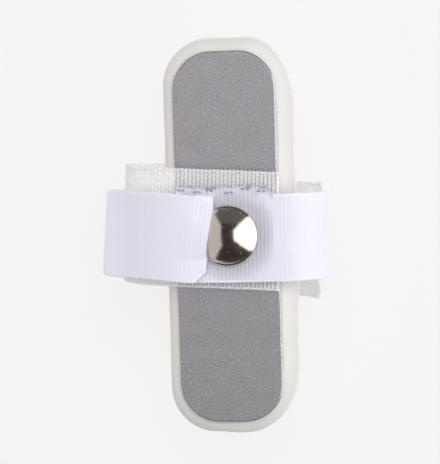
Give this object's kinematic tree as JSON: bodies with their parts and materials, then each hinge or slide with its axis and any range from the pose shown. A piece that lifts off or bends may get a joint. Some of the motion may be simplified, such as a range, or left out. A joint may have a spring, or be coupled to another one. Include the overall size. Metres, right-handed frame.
{
  "type": "padded finger splint",
  "caption": "Padded aluminium finger splint: a flat plate on a foam pad, held to a finger by a riveted elastic band and a closing strap.",
  "frame": {"origin": "on the underside of the closing strap's back run, below the middle of the plate", "axes": "+X across the plate, away from the side where the strap's tail folds over; +Y along the plate; +Z from the strap's back run up through the finger opening, pad and plate to the dome"},
  "size_m": [0.0521, 0.0867, 0.0308],
  "materials": {
    "plate_aluminium": "matt, finely speckled",
    "pad_foam": "matt cream foam skin",
    "lining_cloth": "matt brushed cloth",
    "band_elastic": "open elastic weave, crosswise ribs",
    "strap_elastic": "close elastic weave, crosswise ribs",
    "cap_nickel": "mirror bright",
    "post_steel": "plain turned"
  },
  "bodies": {
    "root": {"splint_plate": "plate_aluminium", "foam_pad": "pad_foam", "pad_lining": "lining_cloth", "finger_band": "band_elastic", "closing_strap": "strap_elastic", "dome_cap": "cap_nickel", "rivet_post": "post_steel"}
  },
  "joints": []
}
